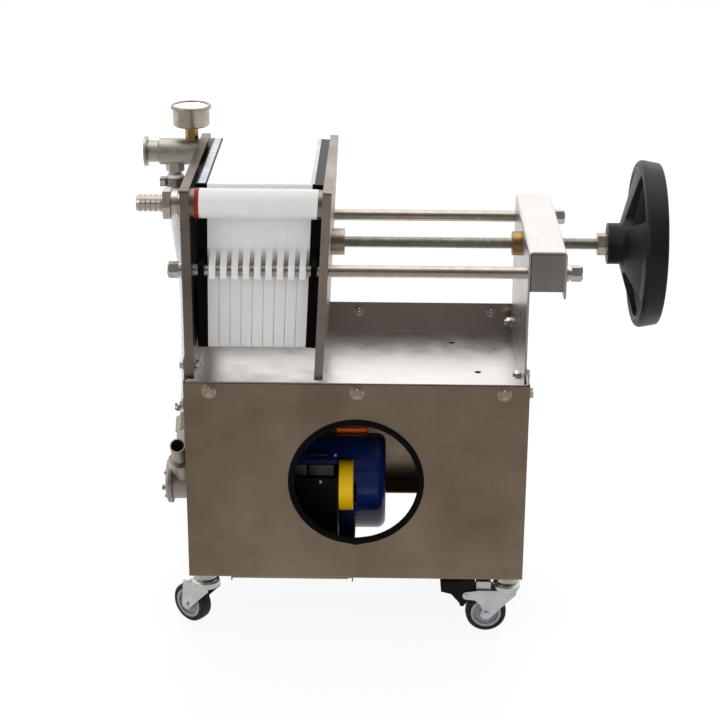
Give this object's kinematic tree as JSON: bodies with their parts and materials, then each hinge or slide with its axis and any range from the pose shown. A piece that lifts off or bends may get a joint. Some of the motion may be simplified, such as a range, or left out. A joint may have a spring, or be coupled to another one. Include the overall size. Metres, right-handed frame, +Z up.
{
  "type": "plate filter press",
  "caption": "Wheeled plate filter press: drip-pan housing with a pump inside, hanging filter plates on two rods, a pressure plate driven by a screw and handwheel.",
  "frame": {"origin": "on the floor under the middle of the whole machine's box", "axes": "+X along the rods towards the handwheel, +Y from the front panel to the back, +Z up"},
  "size_m": [0.626, 0.29, 0.5985],
  "materials": {
    "brushed_stainless": "brushed sheet stainless steel",
    "turned_stainless": "turned stainless steel",
    "cast_stainless": "cast and blasted stainless steel",
    "brass": "turned brass",
    "zinc_plate": "bright zinc plated steel",
    "motor_enamel": "gloss enamel",
    "black_plastic": "moulded",
    "wheel_plastic": "moulded, fine grain",
    "board_plastic": "moulded, polished",
    "filter_plastic": "moulded, translucent white",
    "yellow_plastic": "moulded",
    "hub_plastic": "moulded",
    "hose_plastic": "extruded, ribbed",
    "trim_rubber": "extruded",
    "seal_rubber": "moulded",
    "tread_rubber": "moulded"
  },
  "bodies": {
    "press": {"front_panel": "brushed_stainless", "back_panel": "brushed_stainless", "left_panel": "brushed_stainless", "right_panel": "brushed_stainless", "drip_pan": "brushed_stainless", "opening_trim": "trim_rubber", "motor_shelf": "brushed_stainless", "motor_body": "motor_enamel", "motor_adapter": "black_plastic", "motor_foot": "black_plastic", "switch_box": "black_plastic", "switch_guard": "yellow_plastic", "switch_knob": "black_plastic", "pump_body": "cast_stainless", "pump_cover": "cast_stainless", "feed_hose": "hose_plastic", "hose_clamps": "turned_stainless", "inlet_tee": "cast_stainless", "gauge_stem": "brass", "gauge_case": "turned_stainless", "outlet_barb": "turned_stainless", "fixed_end_plate": "brushed_stainless", "tie_rod_front": "turned_stainless", "tie_rod_back": "turned_stainless", "tie_rod_bolts": "turned_stainless", "crossbeam": "brushed_stainless", "beam_covers": "brushed_stainless", "screw_nut": "brass", "head_board": "board_plastic", "port_gasket": "seal_rubber", "caster_stems": "zinc_plate", "filter_plate_1": "filter_plastic", "filter_plate_2": "filter_plastic", "filter_plate_3": "filter_plastic", "filter_plate_4": "filter_plastic", "filter_plate_5": "filter_plastic", "filter_plate_6": "filter_plastic", "filter_plate_7": "filter_plastic", "filter_plate_8": "filter_plastic", "filter_plate_9": "filter_plastic"},
    "pressure_plate": {"pressure_plate": "brushed_stainless", "tail_board": "board_plastic", "thrust_boss": "turned_stainless"},
    "screw": {"spindle": "turned_stainless", "lock_nut": "turned_stainless", "handwheel": "wheel_plastic"},
    "caster_1": {"caster_fork_1": "zinc_plate"},
    "wheel_1": {"caster_tyre_1": "tread_rubber", "caster_hub_1": "hub_plastic"},
    "caster_2": {"caster_fork_2": "zinc_plate"},
    "wheel_2": {"caster_tyre_2": "tread_rubber", "caster_hub_2": "hub_plastic"},
    "pedal_2": {"brake_pedal_2": "black_plastic"},
    "caster_3": {"caster_fork_3": "zinc_plate"},
    "wheel_3": {"caster_tyre_3": "tread_rubber", "caster_hub_3": "hub_plastic"},
    "caster_4": {"caster_fork_4": "zinc_plate"},
    "wheel_4": {"caster_tyre_4": "tread_rubber", "caster_hub_4": "hub_plastic"},
    "pedal_4": {"brake_pedal_4": "black_plastic"}
  },
  "joints": [
    {"name": "plate_slide", "type": "slide", "parent": "press", "child": "pressure_plate", "axis": [1, 0, 0], "range_m": [0, 0.1952]},
    {"name": "screw_turn", "type": "hinge", "parent": "pressure_plate", "child": "screw", "pos_m": [-0.06104, 0, 0.46], "axis": [1, 0, 0], "range_deg": [0, 35100]},
    {"name": "caster_swivel_1", "type": "hinge", "parent": "press", "child": "caster_1", "pos_m": [-0.227, -0.1135, 0.0645], "axis": [0, 0, 1], "continuous": true},
    {"name": "wheel_spin_1", "type": "hinge", "parent": "caster_1", "child": "wheel_1", "pos_m": [-0.24617, -0.09906, 0.025], "axis": [-0.6018, -0.7986, 0], "continuous": true},
    {"name": "caster_swivel_2", "type": "hinge", "parent": "press", "child": "caster_2", "pos_m": [0.139, -0.1135, 0.0645], "axis": [0, 0, 1], "continuous": true},
    {"name": "wheel_spin_2", "type": "hinge", "parent": "caster_2", "child": "wheel_2", "pos_m": [0.115, -0.1135, 0.025], "axis": [0, -1, 0], "continuous": true},
    {"name": "pedal_press_2", "type": "hinge", "parent": "caster_2", "child": "pedal_2", "pos_m": [0.0908, -0.1135, 0.0502], "axis": [0, -1, 0], "range_deg": [0, 14]},
    {"name": "caster_swivel_3", "type": "hinge", "parent": "press", "child": "caster_3", "pos_m": [-0.227, 0.1135, 0.0645], "axis": [0, 0, 1], "continuous": true},
    {"name": "wheel_spin_3", "type": "hinge", "parent": "caster_3", "child": "wheel_3", "pos_m": [-0.24617, 0.09906, 0.025], "axis": [0.6018, -0.7986, 0], "continuous": true},
    {"name": "caster_swivel_4", "type": "hinge", "parent": "press", "child": "caster_4", "pos_m": [0.139, 0.1135, 0.0645], "axis": [0, 0, 1], "continuous": true},
    {"name": "wheel_spin_4", "type": "hinge", "parent": "caster_4", "child": "wheel_4", "pos_m": [0.115, 0.1135, 0.025], "axis": [0, -1, 0], "continuous": true},
    {"name": "pedal_press_4", "type": "hinge", "parent": "caster_4", "child": "pedal_4", "pos_m": [0.0908, 0.1135, 0.0502], "axis": [0, -1, 0], "range_deg": [0, 14]}
  ],
  "couplings": [
    {"joint": "plate_slide", "follows": "screw_turn", "m_per_rad": 0.00031831}
  ]
}
